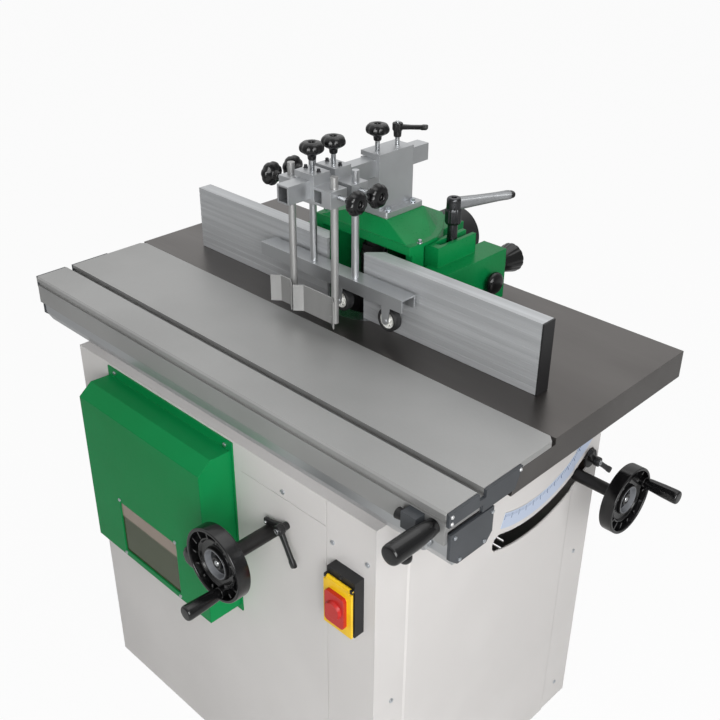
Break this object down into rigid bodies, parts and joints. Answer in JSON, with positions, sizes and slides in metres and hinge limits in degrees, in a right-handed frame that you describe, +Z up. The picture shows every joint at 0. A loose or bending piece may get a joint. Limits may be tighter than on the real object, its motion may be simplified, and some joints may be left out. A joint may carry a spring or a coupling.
{
  "type": "spindle moulder",
  "caption": "Floor-standing spindle moulder with a sliding table, split fence, dust hood, tilting spindle driven by handwheels, and a roller pressure device over the cutter.",
  "frame": {"origin": "on the floor, at the centre of the four anchor holes of the cabinet", "axes": "+X along the fence to the right of the operator, +Y from the operator to the back, +Z up"},
  "size_m": [1.0613, 0.8073, 1.1783],
  "materials": {
    "grey_paint": "textured powder coat, pale grey",
    "green_paint": "semi-gloss green paint",
    "dark_paint": "dark grey paint",
    "smoky_pane": "smoky clear plastic pane",
    "black_plastic": "glossy moulded black plastic",
    "black_port": "matt moulded black plastic",
    "zinc_steel": "zinc-plated steel",
    "planed_iron": "planed grey cast iron",
    "raw_iron": "cast iron as cast",
    "turned_steel": "turned steel",
    "black_steel": "blackened steel",
    "black_lever": "satin black lever",
    "anodised_rail": "anodised aluminium extrusion",
    "slide_aluminium": "planed and blasted aluminium extrusion",
    "fence_aluminium": "brushed anodised aluminium",
    "cast_aluminium": "blasted aluminium casting",
    "beam_aluminium": "anodised aluminium extrusion",
    "dark_plate": "dark blue-grey painted plate",
    "belt_rubber": "flat rubber belt",
    "roller_wheel": "white nylon hub with a black tyre",
    "yellow_flap": "yellow plastic flap with a red paddle",
    "green_button": "green plastic button"
  },
  "bodies": {
    "machine": {"cabinet_frame": "dark_paint", "rear_left_shell": "grey_paint", "right_side": "grey_paint", "front_panel": "grey_paint", "front_cover": "green_paint", "cover_window": "smoky_pane", "fasteners": "zinc_steel", "main_table": "planed_iron", "table_ring": "turned_steel", "slide_rail": "anodised_rail", "rail_end_plates": "dark_plate", "trunnion_guides": "raw_iron", "hood_body": "green_paint", "dust_port": "black_port", "clamp_column": "cast_aluminium", "switch_box": "black_port"},
    "slide": {"sliding_table": "slide_aluminium", "slide_end_plates": "dark_plate", "slide_handle": "black_plastic"},
    "slide_lock": {"slide_lock_knob": "black_plastic"},
    "rail_lock": {"rail_lock_lever": "turned_steel"},
    "cover_latch": {"cover_knob": "black_plastic"},
    "tilt_drive": {"tilt_shaft": "black_steel", "tilt_handwheel": "black_plastic"},
    "tilt_grip": {"tilt_crank_grip": "black_plastic"},
    "tilt_unit": {"tilt_frame": "raw_iron"},
    "height_drive": {"height_shaft": "black_steel", "height_handwheel": "black_plastic"},
    "height_grip": {"height_crank_grip": "black_plastic"},
    "right_lock": {"right_lock_lever": "black_lever"},
    "front_lock": {"front_lock_lever": "black_lever"},
    "lift_screw": {"height_screw": "turned_steel"},
    "height_unit": {"quill_housing": "raw_iron", "drive_motor": "dark_paint", "drive_belt": "belt_rubber"},
    "spindle": {"spindle_arbor": "turned_steel"},
    "motor_rotor": {"motor_pulley": "turned_steel"},
    "carrier": {"right_carrier": "green_paint"},
    "hood_clamp": {"hood_lever": "black_lever"},
    "fence_screw": {"fence_knob": "black_plastic"},
    "carrier_lock": {"carrier_knob": "black_plastic"},
    "fence_left": {"left_fence": "fence_aluminium"},
    "fence_right": {"right_fence": "fence_aluminium"},
    "column_star": {"column_knob": "black_plastic"},
    "column_clamp": {"column_lever": "black_lever"},
    "beam": {"pressure_beam": "beam_aluminium"},
    "front_clamp": {"front_cross": "cast_aluminium"},
    "rear_clamp": {"rear_cross": "cast_aluminium"},
    "front_star": {"front_cross_knob": "black_plastic"},
    "rear_star": {"rear_cross_knob": "black_plastic"},
    "front_left_star": {"front_left_knob": "black_plastic"},
    "front_right_star": {"front_right_knob": "black_plastic"},
    "rear_left_star": {"rear_left_knob": "black_plastic"},
    "rear_right_star": {"rear_right_knob": "black_plastic"},
    "guides": {"side_guides": "zinc_steel"},
    "shoe": {"pressure_shoe": "beam_aluminium"},
    "roller_left": {"left_roller": "roller_wheel"},
    "roller_right": {"right_roller": "roller_wheel"},
    "flap": {"switch_flap": "yellow_flap"},
    "start": {"start_button": "green_button"}
  },
  "joints": [
    {"name": "slide_table", "type": "slide", "parent": "machine", "child": "slide", "axis": [1, 0, 0], "range_m": [-0.38, 0.38]},
    {"name": "slide_lock_turn", "type": "hinge", "parent": "slide", "child": "slide_lock", "pos_m": [0.444, -0.3035, 0.828], "axis": [1, 0, 0], "range_deg": [-180, 180]},
    {"name": "rail_lock_turn", "type": "hinge", "parent": "machine", "child": "rail_lock", "pos_m": [0.461, -0.286, 0.794], "axis": [0, 1, 0], "range_deg": [-60, 60]},
    {"name": "cover_knob_turn", "type": "hinge", "parent": "machine", "child": "cover_latch", "pos_m": [0.036, -0.3615, 0.557], "axis": [0, 1, 0], "range_deg": [-90, 90]},
    {"name": "tilt_wheel", "type": "hinge", "parent": "machine", "child": "tilt_drive", "pos_m": [0.158, -0.4, 0.642], "axis": [0, 1, 0], "range_deg": [-1, 5446]},
    {"name": "tilt_grip_spin", "type": "hinge", "parent": "tilt_drive", "child": "tilt_grip", "pos_m": [0.17016, -0.45, 0.5966], "axis": [0, 1, 0], "continuous": true},
    {"name": "tilt", "type": "hinge", "parent": "machine", "child": "tilt_unit", "pos_m": [0, 0.092, 0.838], "axis": [1, 0, 0], "range_deg": [-45, 0]},
    {"name": "height_wheel", "type": "hinge", "parent": "tilt_unit", "child": "height_drive", "pos_m": [0.4, 0.2275, 0.592], "axis": [1, 0, 0], "range_deg": [-4501, 2701]},
    {"name": "height_grip_spin", "type": "hinge", "parent": "height_drive", "child": "height_grip", "pos_m": [0.5, 0.27108, 0.60961], "axis": [1, 0, 0], "continuous": true},
    {"name": "height_screw_turn", "type": "hinge", "parent": "tilt_unit", "child": "lift_screw", "pos_m": [0.045, 0.2275, 0.7], "axis": [0, 0, 1], "range_deg": [-2701, 4501]},
    {"name": "height", "type": "slide", "parent": "tilt_unit", "child": "height_unit", "axis": [0, 0, 1], "range_m": [-0.05, 0.03]},
    {"name": "spindle_spin", "type": "hinge", "parent": "height_unit", "child": "spindle", "pos_m": [0, 0.092, 0.8], "axis": [0, 0, 1], "continuous": true},
    {"name": "motor_spin", "type": "hinge", "parent": "height_unit", "child": "motor_rotor", "pos_m": [-0.165, 0.092, 0.6], "axis": [0, 0, 1], "continuous": true},
    {"name": "right_lock_turn", "type": "hinge", "parent": "tilt_unit", "child": "right_lock", "pos_m": [0.38, 0.26186, 0.61259], "axis": [1, 0, 0], "range_deg": [-45, 30]},
    {"name": "front_lock_turn", "type": "hinge", "parent": "machine", "child": "front_lock", "pos_m": [0.19, -0.3, 0.668], "axis": [0, 1, 0], "range_deg": [-2, 45]},
    {"name": "carrier_slide", "type": "slide", "parent": "machine", "child": "carrier", "axis": [0, 1, 0], "range_m": [-0.004, 0.016]},
    {"name": "fence_knob_turn", "type": "hinge", "parent": "carrier", "child": "fence_screw", "pos_m": [0.148, 0.26, 0.922], "axis": [0, 1, 0], "range_deg": [-721, 2881]},
    {"name": "carrier_knob_turn", "type": "hinge", "parent": "carrier", "child": "carrier_lock", "pos_m": [0.168, 0.206, 0.91], "axis": [1, 0, 0], "range_deg": [-180, 180]},
    {"name": "hood_lever_turn", "type": "hinge", "parent": "machine", "child": "hood_clamp", "pos_m": [0.123, 0.153, 1], "axis": [0, 0, 1], "range_deg": [-50, 60]},
    {"name": "left_fence_slide", "type": "slide", "parent": "machine", "child": "fence_left", "axis": [1, 0, 0], "range_m": [-0.06, 0.02]},
    {"name": "right_fence_slide", "type": "slide", "parent": "carrier", "child": "fence_right", "axis": [1, 0, 0], "range_m": [-0.02, 0.06]},
    {"name": "beam_slide", "type": "slide", "parent": "machine", "child": "beam", "axis": [0, 1, 0], "range_m": [-0.08, 0]},
    {"name": "front_cross_slide", "type": "slide", "parent": "beam", "child": "front_clamp", "axis": [0, 1, 0], "range_m": [-0.04, 0.005]},
    {"name": "rear_cross_slide", "type": "slide", "parent": "beam", "child": "rear_clamp", "axis": [0, 1, 0], "range_m": [-0.005, 0.004]},
    {"name": "column_knob_turn", "type": "hinge", "parent": "machine", "child": "column_star", "pos_m": [0, 0.095, 1.13], "axis": [0, 0, 1], "range_deg": [-180, 180]},
    {"name": "column_lever_turn", "type": "hinge", "parent": "machine", "child": "column_clamp", "pos_m": [0, 0.144, 1.13], "axis": [0, 0, 1], "range_deg": [-60, 120]},
    {"name": "front_knob_turn", "type": "hinge", "parent": "front_clamp", "child": "front_star", "pos_m": [0, -0.054, 1.13], "axis": [0, 0, 1], "range_deg": [-180, 180]},
    {"name": "rear_knob_turn", "type": "hinge", "parent": "rear_clamp", "child": "rear_star", "pos_m": [0, -0.007, 1.13], "axis": [0, 0, 1], "range_deg": [-180, 180]},
    {"name": "front_left_knob_turn", "type": "hinge", "parent": "front_clamp", "child": "front_left_star", "pos_m": [-0.06, -0.054, 1.1025], "axis": [1, 0, 0], "range_deg": [-180, 180]},
    {"name": "front_right_knob_turn", "type": "hinge", "parent": "front_clamp", "child": "front_right_star", "pos_m": [0.06, -0.054, 1.1025], "axis": [1, 0, 0], "range_deg": [-180, 180]},
    {"name": "rear_left_knob_turn", "type": "hinge", "parent": "rear_clamp", "child": "rear_left_star", "pos_m": [-0.06, -0.007, 1.1025], "axis": [1, 0, 0], "range_deg": [-180, 180]},
    {"name": "rear_right_knob_turn", "type": "hinge", "parent": "rear_clamp", "child": "rear_right_star", "pos_m": [0.06, -0.007, 1.1025], "axis": [1, 0, 0], "range_deg": [-180, 180]},
    {"name": "guides_lift", "type": "slide", "parent": "front_clamp", "child": "guides", "axis": [0, 0, 1], "range_m": [-0.018, 0.1]},
    {"name": "shoe_lift", "type": "slide", "parent": "rear_clamp", "child": "shoe", "axis": [0, 0, 1], "range_m": [-0.017, 0.1]},
    {"name": "left_roller_spin", "type": "hinge", "parent": "shoe", "child": "roller_left", "pos_m": [0.021, -0.007, 0.899], "axis": [0, 1, 0], "continuous": true},
    {"name": "right_roller_spin", "type": "hinge", "parent": "shoe", "child": "roller_right", "pos_m": [0.13, -0.007, 0.899], "axis": [0, 1, 0], "continuous": true},
    {"name": "flap_hinge", "type": "hinge", "parent": "machine", "child": "flap", "pos_m": [0.326, -0.3165, 0.652], "axis": [1, 0, 0], "range_deg": [-110, 0]},
    {"name": "start_press", "type": "slide", "parent": "machine", "child": "start", "axis": [0, 1, 0], "range_m": [0, 0.003], "stiffness_N_per_m": 500}
  ],
  "couplings": [
    {"joint": "tilt_wheel", "follows": "tilt", "ratio": -121},
    {"joint": "height_screw_turn", "follows": "height", "rad_per_m": -1570.8},
    {"joint": "height_wheel", "follows": "height", "rad_per_m": 1570.8},
    {"joint": "motor_spin", "follows": "spindle_spin", "ratio": 0.75472},
    {"joint": "fence_knob_turn", "follows": "carrier_slide", "rad_per_m": 3141.6}
  ]
}
